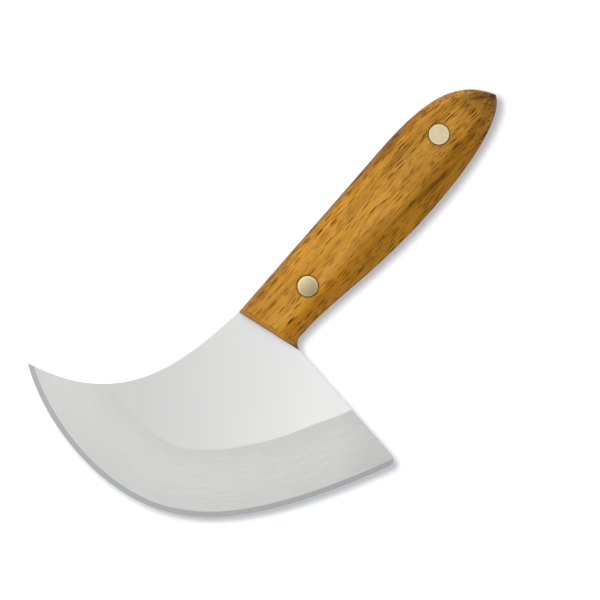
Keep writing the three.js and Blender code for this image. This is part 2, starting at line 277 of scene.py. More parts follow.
def inward_along(places):
    """Unit vectors to the left of a run of places."""
    vectors = []
    for i in range(len(places)):
        along = places[min(i + 1, len(places) - 1)] - places[max(i - 1, 0)]
        vectors.append(Vector((-along.y, along.x)).normalized())
    return vectors


def front_at(y):
    return -y * math.tan(math.radians(FRONT_SLANT))


FRONT_TOP = Vector((front_at(-TOP_FRONT_RISE), -TOP_FRONT_RISE))
front_low_y = NECK_DROP + FILLET_RADIUS * (1 - math.cos(math.radians(FRONT_ON_FILLET)))
fillet_centre = Vector((front_at(front_low_y), NECK_DROP + FILLET_RADIUS))
fillet_centre.x -= FILLET_RADIUS * math.sin(math.radians(FRONT_ON_FILLET))


def cutting_edge():
    tip_pull = towards(TIP, TIP_PULL, TIP_ANGLE)
    heel_pull = towards(HEEL, HEEL_PULL, -HEEL_ANGLE)
    to_reach = bezier(TIP, tip_pull, REACH - Vector((0, REACH_PULL_TO_TIP)), REACH, EDGE_STEPS)
    to_heel = bezier(REACH, REACH + Vector((0, REACH_PULL_TO_HEEL)), heel_pull, HEEL, EDGE_STEPS)
    return to_reach + to_heel[1:]


def hollow_back():
    root_pull = towards(FRONT_TOP, BACK_ROOT_PULL, -BACK_ROOT_ANGLE)
    tip_pull = towards(TIP, BACK_TIP_PULL, 180 - BACK_TIP_ANGLE)
    return bezier(FRONT_TOP, root_pull, tip_pull, TIP, BACK_STEPS)


def fillet_to_neck(from_degrees):
    """Places round the fillet, from an angle to where the neck starts."""
    places = []
    for step in range(FILLET_STEPS + 1):
        degrees = from_degrees + (-90 - from_degrees) * step / FILLET_STEPS
        places.append(towards(fillet_centre, FILLET_RADIUS, degrees))
    return places


def heel_side_degrees():
    """Angle on the fillet where the straight heel side touches it."""
    to_heel = HEEL - fillet_centre
    turn = math.atan2(to_heel.y, to_heel.x) - math.acos(FILLET_RADIUS / to_heel.length)
    return math.degrees(turn)


def half_heel_corner():
    """Half the angle between the cutting edge and the heel side, in degrees."""
    return (-HEEL_ANGLE - (heel_side_degrees() - 90)) / 2


def rounded_heel():
    """Places round the heel's corner, from the cutting edge to the heel side."""
    half = half_heel_corner()
    centre = towards(HEEL, HEEL_ROUND / math.sin(math.radians(half)), -HEEL_ANGLE - half)
    start, turn = 90 - HEEL_ANGLE, 180 - 2 * half
    return [towards(centre, HEEL_ROUND, start + turn * i / HEEL_STEPS) for i in range(HEEL_STEPS + 1)]


def edge_to_heel():
    """Places on the cutting edge that the rounded heel leaves."""
    taken = HEEL_ROUND / math.tan(math.radians(half_heel_corner()))
    return [place for place in cutting_edge() if (place - HEEL).length > taken]


def low_neck_to_palm():
    neck = Vector((fillet_centre.x, NECK_DROP))
    palm_pull = PALM + Vector((PALM_PULL_FRONT, 0))
    return bezier(neck, neck - Vector((NECK_PULL, 0)), palm_pull, PALM, NECK_STEPS)


def low_palm_to_butt():
    butt_pull = towards(BUTT, BUTT_LOW_PULL, BUTT_LOW_ANGLE)
    return bezier(PALM, PALM - Vector((PALM_PULL_BUTT, 0)), butt_pull, BUTT, BUTT_STEPS)


def top_straight_to_butt():
    butt_pull = towards(BUTT, BUTT_TOP_PULL, -BUTT_TOP_ANGLE)
    return bezier(TOP_END, TOP_END - Vector((TOP_PULL, 0)), butt_pull, BUTT, BUTT_STEPS)


# Node trees
def node(tree, kind, inputs=None, **settings):
    """Adds a node, with its settings and its inputs, which are values or other nodes' outputs."""
    made = tree.nodes.new(kind)
    for name, value in settings.items():
        setattr(made, name, value)
    for key, value in (inputs or {}).items():
        if isinstance(value, bpy.types.NodeSocket):
            tree.links.new(value, made.inputs[key])
        else:
            made.inputs[key].default_value = value
    return made


def fed_node(kind, inputs, **settings):
    """Adds a node to the tree of the outputs that feed it."""
    outputs = [value for value in inputs.values() if isinstance(value, bpy.types.NodeSocket)]
    return node(outputs[0].id_data, kind, inputs, **settings)


def maths(operation, *values, clamp=False):
    inputs = dict(enumerate(values))
    return fed_node("ShaderNodeMath", inputs, operation=operation, use_clamp=clamp).outputs[0]


def ramped(value, low, high, to_low=0.0, to_high=1.0, clamp=True, smooth=False):
    """A value carried from one range to another."""
    inputs = {"Value": value, "From Min": low, "From Max": high, "To Min": to_low, "To Max": to_high}
    kind = "SMOOTHSTEP" if smooth else "LINEAR"
    made = fed_node("ShaderNodeMapRange", inputs, clamp=clamp, interpolation_type=kind)
    return made.outputs["Result"]


def vector_maths(operation, *values):
    """The result of a vector operation, which is a plain value for a length or a product."""
    made = fed_node("ShaderNodeVectorMath", dict(enumerate(values)), operation=operation)
    plain = operation in ("DOT_PRODUCT", "LENGTH", "DISTANCE")
    return made.outputs["Value" if plain else "Vector"]


def product(first, *others):
    for other in others:
        first = maths("MULTIPLY", first, other)
    return first


def combined(**parts):
    return fed_node("ShaderNodeCombineXYZ", parts).outputs[0]


def separated(vector):
    return fed_node("ShaderNodeSeparateXYZ", {"Vector": vector}).outputs


def mixed(share, first, second, blend="MIX"):
    """Two colours mixed."""
    inputs = {0: share}
    for index, value in ((6, first), (7, second)):
        inputs[index] = value if isinstance(value, bpy.types.NodeSocket) else (*value, 1)
    return fed_node("ShaderNodeMix", inputs, data_type="RGBA", blend_type=blend).outputs[2]


def new_tree(name, kind, inputs, outputs):
    """An empty node tree with named inputs and outputs, each of a kind of socket."""
    tree = bpy.data.node_groups.new(name, kind)
    for side, sockets in (("INPUT", inputs), ("OUTPUT", outputs)):
        for title, socket in sockets.items():
            tree.interface.new_socket(title, in_out=side, socket_type="NodeSocket" + socket)
    return tree, tree.nodes.new("NodeGroupInput").outputs, tree.nodes.new("NodeGroupOutput").inputs


def end_tree(geometry, material, result):
    """Ends a geometry tree in a plain mesh with its material."""
    realized = fed_node("GeometryNodeRealizeInstances", {"Geometry": geometry}).outputs[0]
    finished = fed_node("GeometryNodeSetMaterial", {"Geometry": realized, "Material": material})
    geometry.id_data.links.new(finished.outputs[0], result["Geometry"])


def add_object(name, data):
    piece = bpy.data.objects.new(name, data)
    bpy.context.scene.collection.objects.link(piece)
    return piece


def plain_mesh(piece):
    """Turns a piece with modifiers into its finished mesh."""
    graph = bpy.context.evaluated_depsgraph_get()
    mesh = bpy.data.meshes.new_from_object(piece.evaluated_get(graph))
    piece.modifiers.clear()
    piece.data = mesh


def grow(piece, tree, values):
    """Runs a geometry tree on a piece, with the tree's inputs set by name, and keeps the mesh."""
    modifier = piece.modifiers.new("grow", "NODES")
    modifier.node_group = tree
    for item in tree.interface.items_tree:
        if item.in_out == "INPUT" and item.name in values:
            modifier[item.identifier] = values[item.name]
    plain_mesh(piece)


def shade_by_angle(piece, degrees):
    piece.data.shade_smooth()
    piece.data.set_sharp_from_angle(angle=math.radians(degrees))


# Blade
def line_mesh(name, places):
    """A run of places in the plan, as a mesh of edges."""
    mesh = bpy.data.meshes.new(name)
    corners = [in_frame(place) for place in places]
    mesh.from_pydata(corners, [(i, i + 1) for i in range(len(corners) - 1)], [])
    return mesh


def inset_line(places, inset, run_on):
    """A line beside a run of places, carried straight on past both ends."""
    line = [place + inset * inward for place, inward in zip(places, inward_along(places))]
    start = line[0] + run_on * (line[0] - line[1]).normalized()
    end = line[-1] + run_on * (line[-1] - line[-2]).normalized()
    return [start, *line, end]


def circle(centre, radius):
    return [towards(centre, radius, 360 * i / TURNED_SIDES) for i in range(TURNED_SIDES)]


def blunt_outline():
    """The blade's outline from the heel back to the tip, without the cutting edge."""
    tang = low_neck_to_palm()[1:] + low_palm_to_butt()[1:] + top_straight_to_butt()[::-1][1:]
    return rounded_heel() + fillet_to_neck(heel_side_degrees()) + tang + hollow_back()


def plate_mesh():
    """The blade in plan: a flat sheet with edges along the outline, the bores and the grind's lines."""
    run_on = 4.0
    same_place = 1e-4
    edge = cutting_edge()
    blunt = blunt_outline()
    bore = TUBE_RADIUS + BORE_FIT
    loops = [edge_to_heel() + blunt[:-1], *(circle(place, bore) for place in rivet_plan)]
    lines = [inset_line(edge, HONE_WIDTH, run_on), inset_line(edge, BEVEL_WIDTH, run_on)]
    lines.append(inset_line(blunt, BROKEN_EDGE, 0.0))
    places, edges = [], []
    for run in loops + lines:
        first = len(places)
        places += run
        edges += [(first + i, first + i + 1) for i in range(len(run) - 1)]
        if run in loops:
            edges.append((len(places) - 1, first))
    outline = list(range(len(loops[0])))
    corners, _, triangles, _, _, sources = delaunay_2d_cdt(places, edges, [outline], 1, same_place, True)
    kept = []
    for triangle, source in zip(triangles, sources):
        middle = sum((corners[i] for i in triangle), Vector((0, 0))) / 3
        if source and all((middle - place).length > bore for place in rivet_plan):
            kept.append(triangle)
    used = sorted({i for triangle in kept for i in triangle})
    number = {corner: i for i, corner in enumerate(used)}
    faces = [[number[i] for i in triangle] for triangle in kept]
    mesh = bpy.data.meshes.new("ground_blade")
    mesh.from_pydata([in_frame(corners[i]) for i in used], [], faces)
    return mesh


def thickened(sheet, thickness):
    """A flat sheet made a closed plate, upwards."""
    tree = sheet.id_data
    upwards = node(tree, "ShaderNodeCombineXYZ", {"Z": 1.0}).outputs[0]
    lift = {"Mesh": sheet, "Offset": upwards, "Offset Scale": thickness, "Individual": False}
    raised = fed_node("GeometryNodeExtrudeMesh", lift, mode="FACES")
    under = fed_node("GeometryNodeFlipFaces", {"Mesh": sheet})
    joined = node(tree, "GeometryNodeJoinGeometry")
    for half in (raised, under):
        tree.links.new(half.outputs["Mesh"], joined.inputs[0])
    both = {"Geometry": joined.outputs[0], "Distance": SAME_PLACE}
    return fed_node("GeometryNodeMergeByDistance", both).outputs[0]


def away_from(line, place):
    """How far a place is from a line."""
    target = fed_node("GeometryNodeObjectInfo", {"Object": line}).outputs["Geometry"]
    inputs = {0: target, "Sample Position": place}
    return fed_node("GeometryNodeProximity", inputs, target_element="EDGES").outputs["Distance"]


def kept_value(geometry, name, value):
    """Geometry with a value kept on its corners under a name."""
    inputs = {"Geometry": geometry, "Name": name, "Value": value}
    kind = "GeometryNodeStoreNamedAttribute"
    return fed_node(kind, inputs, data_type="FLOAT", domain="POINT").outputs[0]


def half_thickness(given, inset, from_outline):
    """Half the blade's thickness, which falls to the cutting edge in two ground faces."""
    edge, shoulder, face = given["Edge"], given["Shoulder"], given["Face"]
    hone, bevel = given["Hone Width"], given["Bevel Width"]
    honed = ramped(inset, 0.0, hone, edge, shoulder, clamp=False)
    ground = ramped(inset, hone, bevel, shoulder, face, clamp=False)
    half = maths("MINIMUM", maths("MINIMUM", honed, ground), face)
    corner = maths("SUBTRACT", given["Broken Corner"], from_outline)
    half = maths("SUBTRACT", half, maths("MAXIMUM", corner, 0.0))
    return maths("MAXIMUM", half, edge)


def grind_tree():
    """Gives a flat sheet its thickness and its grind, and keeps the distances to both for the finish."""
    inputs = {
        "Geometry": "Geometry",
        "Cutting Edge": "Object",
        "Blunt Outline": "Object",
        "Middle": "Float",
        "Face": "Float",
        "Shoulder": "Float",
        "Edge": "Float",
        "Bevel Width": "Float",
        "Hone Width": "Float",
        "Broken Corner": "Float",
        "Steel": "Material",
    }
    tree, given, result = new_tree("blade_grind", "GeometryNodeTree", inputs, {"Geometry": "Geometry"})
    plate = thickened(given["Geometry"], given["Face"])
    place = separated(node(tree, "GeometryNodeInputPosition").outputs[0])
    flat = combined(X=place["X"], Y=place["Y"], Z=given["Middle"])
    inset = away_from(given["Cutting Edge"], flat)
    from_outline = away_from(given["Blunt Outline"], flat)
    plate = kept_value(plate, "inset", inset)
    plate = kept_value(plate, "from_outline", from_outline)
    just_above = maths("ADD", given["Middle"], 10 * SAME_PLACE)
    above = maths("GREATER_THAN", place["Z"], just_above)
    side = ramped(above, 0.0, 1.0, -1.0, 1.0)
    half = half_thickness(given, inset, from_outline)
    height = maths("MULTIPLY_ADD", half, side, given["Middle"])
    shaped = combined(X=place["X"], Y=place["Y"], Z=height)
    moved = fed_node("GeometryNodeSetPosition", {"Geometry": plate, "Position": shaped})
    end_tree(moved.outputs[0], given["Steel"], result)
    return tree


def ground_blade(steel):
    edge_line = add_object("edge_line", line_mesh("edge_line", cutting_edge()))
    blunt_line = add_object("blunt_line", line_mesh("blunt_line", blunt_outline()))
    blade = add_object("ground_blade", plate_mesh())
    values = {
        "Cutting Edge": edge_line,
        "Blunt Outline": blunt_line,
        "Middle": mid_height,
        "Face": (face_height - POLISH_DEPTH) * MM,
        "Shoulder": SHOULDER_THICKNESS / 2 * MM,
        "Edge": EDGE_THICKNESS / 2 * MM,
        "Bevel Width": BEVEL_WIDTH * MM,
        "Hone Width": HONE_WIDTH * MM,
        "Broken Corner": BROKEN_EDGE * MM,
        "Steel": steel,
    }
    grow(blade, grind_tree(), values)
    shade_by_angle(blade, SHARP_GRIND)
    for line in (edge_line, blunt_line):
        bpy.data.objects.remove(line)
    return blade


# Scales
def scale_stations():
    """Matching places on the low and top sides, from the front to the butt's corner."""
    low = fillet_to_neck(FRONT_ON_FILLET - 90) + low_neck_to_palm()[1:]
    run = low[0].x - PALM.x
    top = [FRONT_TOP.lerp(TOP_END, (low[0].x - place.x) / run) for place in low]
    return list(zip(low + low_palm_to_butt()[1:], top + top_straight_to_butt()[1:]))


def scale_height_at(x):
    from_butt = min(max((x - BUTT.x) / BUTT_ROUND, 0), 1)
    return SIDE_LAND + (SCALE_THICKNESS - SIDE_LAND) * math.sqrt(1 - (1 - from_butt) ** 2)


def softer_minimum(first, second, reach):
    gap = max(reach - abs(first - second), 0) / reach
    return min(first, second) - gap * gap * reach / 4


def chamfered(place, height):
    """A height over the tang, kept under the chamfer along the front."""
    slant = math.radians(FRONT_SLANT)
    behind = -place.x * math.cos(slant) - place.y * math.sin(slant)
    slope = FRONT_CHAMFER_DEPTH / FRONT_CHAMFER_WIDTH
    limit = SCALE_THICKNESS + (behind - FRONT_CHAMFER_WIDTH) * slope
    return softer_minimum(height, limit, CHAMFER_WEAR)


def half_section(start, inward, rounding, fullness, rise):
    """One side of a section from the tang upwards: (place, height over the tang, how near the outline)."""
    corner = min(SEAM_CORNER, rounding / 4)
    points = [(start + corner * inward, 0.0, 1.0), (start, corner, 1.0)]
    power = 2 / fullness
    for step in range(ROUND_STEPS + 1):
        turn = math.pi / 2 * step / ROUND_STEPS
        across = 1 - max(math.cos(turn), 0) ** power
        lifted = math.sin(turn) ** power
        points.append((start + rounding * across * inward, SIDE_LAND + rise * lifted, 1 - across))
    return points


def ridge_wear_at(x, width):
    back = min(max((-x - RIDGE_WEAR_START) / RIDGE_WEAR_RUN, 0), 1)
    return min(RIDGE_WEAR_FRONT + (RIDGE_WEAR_BACK - RIDGE_WEAR_FRONT) * back, width / 4)


def worn_half_section(start, inward, rounding, rise, wear):
    """The low side of a section, with its ridge worn round and the wear taken as near the outline too."""
    crown = SIDE_LAND + rise
    steepness = RIDGE_STEEPNESS * rise / max(rounding, SEAM_CORNER)
    reach = max(steepness * wear, LEAST_WEAR)
    points = []
    for place, height, near in half_section(start, inward, rounding, LOW_FULLNESS, rise):
        points.append((place, softer_minimum(height, crown, reach), WORN_SHARE + (1 - WORN_SHARE) * near))
    for step in range(1, RIDGE_STEPS + 1):
        past = wear * step / RIDGE_STEPS
        height = softer_minimum(crown + steepness * past, crown, reach)
        points.append((start + (rounding + past) * inward, height, WORN_SHARE * (1 - step / RIDGE_STEPS)))
    return points


def scale_section(low, top):
    width = (low - top).length
    across = (low - top).normalized()
    middle = (low.x + top.x) / 2
    rise = scale_height_at(middle) - SIDE_LAND
    top_side = half_section(top, across, TOP_SHARE * width, TOP_FULLNESS, rise)
    low_side = worn_half_section(low, -across, LOW_SHARE * width, rise, ridge_wear_at(middle, width))
    return [(place, height, -near) for place, height, near in top_side] + low_side[::-1]


def bridge(shell, rings):
    """Faces from each ring of corners to the next."""
    for ring, following in zip(rings, rings[1:]):
        for i in range(len(ring)):
            j = (i + 1) % len(ring)
            shell.faces.new((ring[i], ring[j], following[j], following[i]))


def finished_mesh(shell, name):
    """A mesh of a shell, with its faces outwards."""
    bmesh.ops.recalc_face_normals(shell, faces=shell.faces)
    mesh = bpy.data.meshes.new(name)
    shell.to_mesh(mesh)
    shell.free()
    return mesh


def scale_mesh(name, side):
    """A scale lofted through its sections, on one side of the tang: 1 above it, -1 below."""
    shell = bmesh.new()
    side_layer = shell.verts.layers.float.new("side")
    rings = []
    for low, top in scale_stations():
        ring = []
        for place, height, turn in scale_section(low, top):
            lifted = face_height + min(height, max(chamfered(place, height), 0))
            vert = shell.verts.new(in_frame(place, side * lifted))
            vert[side_layer] = turn
            ring.append(vert)
        rings.append(ring)
    bridge(shell, rings)
    shell.faces.new(rings[0])
    bmesh.ops.remove_doubles(shell, verts=shell.verts, dist=SAME_PLACE)
    return finished_mesh(shell, name)


def turned_mesh(name, profile, centres):
    """A solid turned from (radius, height) corners, repeated about upright axes through plan places."""
    shell = bmesh.new()
    for centre in centres:
        rings = []
        for radius, height in profile:
            rings.append([shell.verts.new(in_frame(place, height)) for place in circle(centre, radius)])
        bridge(shell, rings)
        shell.faces.new(rings[0])
        shell.faces.new(rings[-1])
    return finished_mesh(shell, name)


def wooden_scale(name, side, wood):
    """A scale with the bores and head seats of its rivets cut through it."""
    excess = 2.0
    seat = handle_height - HEAD_THICKNESS
    profile = [
        (TUBE_RADIUS + BORE_FIT, side * (face_height - excess)),
        (TUBE_RADIUS + BORE_FIT, side * seat),
        (HEAD_RADIUS + BORE_FIT, side * seat),
        (HEAD_RADIUS + BORE_FIT, side * (handle_height + excess)),
    ]
    scale = add_object(name, scale_mesh(name, side))
    cutter = add_object("cutter", turned_mesh("cutter", profile, rivet_plan))
    cut = scale.modifiers.new("bores", "BOOLEAN")
    cut.operation = "DIFFERENCE"
    cut.solver = "EXACT"
    cut.object = cutter
    plain_mesh(scale)
    bpy.data.objects.remove(cutter)
    scale.data.materials.clear()
    scale.data.materials.append(wood)
    shade_by_angle(scale, SHARP_WOOD)
    return scale


# Rivets
def head_profile():
    """A head's outline from its underside to the middle of its crown."""
    steps = 5
    points = [(HEAD_RADIUS, handle_height - HEAD_THICKNESS)]
    rim = handle_height - HEAD_DOME
    for step in range(steps + 1):
        turn = math.pi / 2 * step / steps
        radius = HEAD_RADIUS - HEAD_CORNER * (1 - math.cos(turn))
        points.append((radius, rim - HEAD_CORNER * (1 - math.sin(turn))))
    crown = HEAD_RADIUS - HEAD_CORNER
    for step in range(1, steps + 1):
        radius = crown * (1 - step / steps)
        points.append((radius, handle_height - HEAD_DOME * (radius / crown) ** 2))
    return points


def tube_profile():
    seat = handle_height - HEAD_THICKNESS
    end = END_ROOM - seat
    bore = [(0, seat), (TUBE_BORE_RADIUS, seat), (TUBE_BORE_RADIUS, end)]
    return bore + [(TUBE_RADIUS, end), (TUBE_RADIUS, seat)]


def shank_profile():
    end = END_ROOM + HEAD_THICKNESS - handle_height
    return [(0, end), (SHANK_RADIUS, end), (SHANK_RADIUS, handle_height - HEAD_THICKNESS)]


def profile_curve(name, points):
    """An outline in the plane of radius and height, as a curve of straight runs."""
    curve = bpy.data.curves.new(name, "CURVE")
    curve.dimensions = "3D"
    spline = curve.splines.new("POLY")
    spline.points.add(len(points) - 1)
    for corner, (radius, height) in zip(spline.points, points):
        corner.co = (radius * MM, height * MM, 0, 1)
    return add_object(name, curve)


def rivet_tree():
    """Turns a profile about an upright axis and sets one copy on each place."""
    inputs = {
        "Geometry": "Geometry",
        "Profile": "Object",
        "Sides": "Int",
        "Path Radius": "Float",
        "Tilt": "Float",
        "Seed": "Int",
        "Metal": "Material",
    }
    tree, given, result = new_tree("rivets_on_places", "GeometryNodeTree", inputs, {"Geometry": "Geometry"})
    profile = fed_node("GeometryNodeObjectInfo", {"Object": given["Profile"]}).outputs["Geometry"]
    shift = combined(X=maths("MULTIPLY", given["Path Radius"], -1.0))
    centred = fed_node("GeometryNodeTransform", {"Geometry": profile, "Translation": shift}).outputs[0]
    ring = {"Resolution": given["Sides"], "Radius": given["Path Radius"]}
    path = fed_node("GeometryNodeCurvePrimitiveCircle", ring).outputs[0]
    turned = fed_node("GeometryNodeCurveToMesh", {"Curve": path, "Profile Curve": centred}).outputs[0]
    merged = {"Geometry": turned, "Distance": SAME_PLACE}
    closed = fed_node("GeometryNodeMergeByDistance", merged).outputs[0]
    range_of_turns = {"Min": 0.0, "Max": 2 * math.pi, "Seed": given["Seed"]}
    spin = fed_node("FunctionNodeRandomValue", range_of_turns, data_type="FLOAT")
    spun = [socket for socket in spin.outputs if socket.enabled][0]
    rotation = combined(X=given["Tilt"], Z=spun)
    copies = {"Points": given["Geometry"], "Instance": closed, "Rotation": rotation}
    placed = fed_node("GeometryNodeInstanceOnPoints", copies).outputs[0]
    end_tree(placed, given["Metal"], result)
    return tree


def rivet_halves(name, tree, profile, tilt, seed, metal):
    """One half of both rivets."""
    places = bpy.data.meshes.new(name)
    places.from_pydata([in_frame(place) for place in rivet_plan], [], [])
    dulling_and_shade = places.attributes.new("dulling_and_shade", "FLOAT", "POINT")
    dulling_and_shade.data.foreach_set("value", DULLING_AND_SHADE_SHARE)
    halves = add_object(name, places)
    outline = profile_curve(name + "_profile", profile)
    values = {
        "Profile": outline,
        "Sides": TURNED_SIDES,
        "Path Radius": HEAD_RADIUS * MM,
        "Tilt": tilt,
        "Seed": seed,
        "Metal": metal,
    }
    grow(halves, tree, values)
    bpy.data.objects.remove(outline)
    shell = bmesh.new()
    shell.from_mesh(halves.data)
    bmesh.ops.remove_doubles(shell, verts=shell.verts, dist=SAME_PLACE)
    bmesh.ops.recalc_face_normals(shell, faces=shell.faces)
    reach = shell.verts.layers.float.new("reach")
    axes = [in_frame(place).xy for place in rivet_plan]
    for vert in shell.verts:
        vert[reach] = min((vert.co.xy - axis).length for axis in axes) / (HEAD_RADIUS * MM)
    shell.to_mesh(halves.data)
    shell.free()
    shade_by_angle(halves, SHARP_RIVET)
    return halves


# Materials
def new_material(name):
    material = bpy.data.materials.new(name)
    material.use_nodes = True
    tree = material.node_tree
    shader = next(made for made in tree.nodes if made.type == "BSDF_PRINCIPLED")
    return material, tree, shader


def object_place(tree):
    return node(tree, "ShaderNodeTexCoord").outputs["Object"]


def attribute(tree, name):
    return node(tree, "ShaderNodeAttribute", attribute_name=name).outputs["Fac"]


def stretched(place, scale, location=(0, 0, 0), turn=0.0):
    """Coordinates scaled by axis, for patterns longer one way than another."""
    inputs = {"Vector": place, "Scale": scale, "Location": location, "Rotation": (0, 0, turn)}
    return fed_node("ShaderNodeMapping", inputs).outputs[0]


def noise(place, scale=1.0, detail=2.0, roughness=0.5):
    inputs = {"Vector": place, "Scale": scale, "Detail": detail, "Roughness": roughness}
    return fed_node("ShaderNodeTexNoise", inputs).outputs["Fac"]


def streaked(place, scale, location=(0, 0, 0), detail=3.0, roughness=0.6):
    """Noise scaled by axis."""
    return noise(stretched(place, scale, location), 1.0, detail, roughness)


def rotated(vector, degrees):
    """A vector turned about an upright axis."""
    inputs = {"Vector": vector, "Angle": math.radians(degrees)}
    return fed_node("ShaderNodeVectorRotate", inputs, rotation_type="Z_AXIS").outputs[0]


def linear(red, green, blue):
    """A colour given as it looks on a screen, from 0 to 255, in linear light."""
    levels = [level / 255 for level in (red, green, blue)]
    return tuple(v / 12.92 if v <= 0.04045 else ((v + 0.055) / 1.055) ** 2.4 for v in levels)


def scaled(vector, factor):
    """A colour or another vector, times a factor."""
    return fed_node("ShaderNodeVectorMath", {0: vector, "Scale": factor}, operation="SCALE").outputs[0]


def tinted(share, colour, tint):
    """A colour multiplied by a tint, as far as the share says."""
    return mixed(share, colour, tint, "MULTIPLY")


def set_finish(shader, colour, rough, relief, strength, depth):
    """Feeds a shader its colour, its roughness and the bumps of a relief so many millimetres deep."""
    bumps = fed_node("ShaderNodeBump", {"Height": relief, "Strength": strength, "Distance": depth * MM})
    links = shader.id_data.links
    links.new(colour, shader.inputs["Base Color"])
    links.new(rough, shader.inputs["Roughness"])
    links.new(bumps.outputs[0], shader.inputs["Normal"])


def along_image(place, start_pixel, end_pixel):
    """0 at one pixel of the photograph and 1 at another, growing straight between them."""
    start = image_to_frame(start_pixel)
    run = image_to_frame(end_pixel) - start
    offset = vector_maths("SUBTRACT", place, start)
    return vector_maths("DOT_PRODUCT", offset, run / run.length_squared)


def scuffs_group():
    """Fine scratches and faint clouding of handled metal."""
    inputs = {"Vector": "Vector", "Scale": "Float", "Stretch": "Float"}
    outputs = {"Scratches": "Float", "Clouding": "Float"}
    tree, given, result = new_tree("metal_scuffs", "ShaderNodeTree", inputs, outputs)
    place = scaled(given["Vector"], given["Scale"])
    parts = separated(place)
    across = maths("MULTIPLY", parts["Y"], given["Stretch"])
    lines = combined(X=parts["X"], Y=across, Z=parts["Z"])
    tree.links.new(noise(lines, detail=3.0, roughness=0.6), result["Scratches"])
    tree.links.new(noise(place, scale=0.35), result["Clouding"])
    return tree


def scuffs_on(scuffs, place, turn, scale, stretch):
    """Scratches and clouding, turned and sized for one metal."""
    vector = stretched(place, (1, 1, 1), turn=turn)
    inputs = {"Vector": vector, "Scale": scale, "Stretch": stretch}
    return fed_node("ShaderNodeGroup", inputs, node_tree=scuffs).outputs


def grind_lines(place, inset, along):
    """Lines of the grind, which run along the cutting edge and are fainter towards the tip."""
    offset = separated(vector_maths("SUBTRACT", place, in_frame(GRIND_MIDDLE)))
    run = maths("ARCTAN2", offset["Y"], offset["X"])
    lines = combined(X=maths("MULTIPLY", run, GRIND_ALONG), Y=maths("MULTIPLY", inset, GRIND_ACROSS))
    depth = maths("SUBTRACT", noise(lines, detail=3.0, roughness=0.6), 0.5)
    return maths("MULTIPLY_ADD", depth, ramped(along, -0.3, 0.4, 0.45, 1.0), 0.5)


def ground_colour(bright, along, inset, grind):
    """Steel of the bevel, in lines, with painted reflection: darker by the hone, by the flat and at the
    heel, lighter at the tip.
    """
    shade = product(
        ramped(grind, 0.25, 0.75, 0.93, 1.07),
        ramped(inset, 3, 12, 0.985, 1.035),
        ramped(inset, 18, 25, 1.0, 0.955),
        ramped(along, 1.1, 1.3, 1.0, 0.9),
        ramped(along, -0.6, -0.3, 1.06, 1.0),
    )
    return scaled(mixed(bright, *GROUND_STEEL), shade)


def honed_colour(place):
    # Painted reflection: the hone darker towards the heel
    along = maths("MAXIMUM", along_image(place, *HONE_PIXELS), 0.0)
    return mixed(maths("POWER", along, 0.6), *HONED_STEEL)


def sawn_colour(place):
    lines = streaked(place, (90, 90, 4000))
    return mixed(ramped(lines, 0.3, 0.7), *SAWN_STEEL)


def steel_material(scuffs):
    """Polished flat, ground bevel, narrow hone and sawn edges."""
    material, tree, shader = new_material("blade_steel")
    place = object_place(tree)
    inset = maths("DIVIDE", attribute(tree, "inset"), MM)
    along = along_image(place, *STEEL_PIXELS)
    grind = grind_lines(place, inset, along)
    scuffed = scuffs_on(scuffs, place, turn=0.3, scale=60.0, stretch=14.0)

    wander = ramped(noise(place, scale=40.0, detail=1.0), 0.3, 0.7, -0.5, 0.5, clamp=False)
    line = maths("ADD", inset, wander)
    polished = ramped(line, BEVEL_WIDTH - 0.35, BEVEL_WIDTH + 0.35, smooth=True)
    honed = ramped(inset, HONE_WIDTH - 0.05, HONE_WIDTH + 0.05, 1.0, 0.0)
    sawn = ramped(attribute(tree, "from_outline"), 0.02 * MM, BROKEN_EDGE * MM, 1.0, 0.0)

    cloud = ramped(scuffed["Clouding"], 0.3, 0.7, -0.06, 0.06)
    # Painted reflection along the blade, with clouding of the steel
    bright = maths("ADD", along, cloud, clamp=True)
    ground = ground_colour(bright, along, inset, grind)
    colour = mixed(polished, ground, mixed(bright, *FLAT_STEEL))
    colour = mixed(honed, colour, honed_colour(place))
    colour = mixed(sawn, colour, sawn_colour(place))

    flat_rough = ramped(scuffed["Scratches"], 0.3, 0.7, *FLAT_ROUGHNESS)
    ground_rough = ramped(grind, 0.25, 0.75, *GROUND_ROUGHNESS)
    rough = fed_node("ShaderNodeMix", {0: polished, 2: ground_rough, 3: flat_rough}, data_type="FLOAT")
    relief = maths("MULTIPLY", grind, maths("SUBTRACT", 1.0, polished))
    set_finish(shader, colour, rough.outputs[0], relief, strength=0.12, depth=0.05)
    shader.inputs["Metallic"].default_value = 1.0
    return material


def along_grain(place, behind):
    """Coordinates turned to the grain, which wanders a little and bends towards the butt."""
    straight = rotated(place, GRAIN_TURN)
    waves = {"Vector": stretched(straight, (14, 30, 30)), "Detail": 1.0}
    wander = fed_node("ShaderNodeTexNoise", waves).outputs["Color"]
    centred = vector_maths("SUBTRACT", wander, (0.5, 0.5, 0.5))
    drift = vector_maths("MULTIPLY", centred, (0, GRAIN_WANDER * MM, GRAIN_WANDER * MM))
    past_start = maths("MAXIMUM", maths("SUBTRACT", behind, GRAIN_BEND_START), 0.0)
    aside = maths("MULTIPLY", maths("POWER", past_start, 2.0), -GRAIN_BEND * MM)
    return vector_maths("ADD", vector_maths("ADD", straight, drift), combined(Y=aside))


def figured_wood(grain, fibres):
    """Golden wood in soft bands, with darker streaks and fine fibres."""
    bands = streaked(grain, (9, 130, 130), roughness=0.55)
    streaks = streaked(grain, (16, 520, 520), (7, 3, 1))
    colour = mixed(ramped(bands, 0.3, 0.7), linear(*WOOD_DEEP), linear(*WOOD_LIGHT))
    colour = mixed(ramped(streaks, 0.52, 0.72, 0.0, 0.6), colour, linear(*WOOD_STREAK))
    return scaled(colour, ramped(fibres, 0.3, 0.7, 0.8, 1.15))


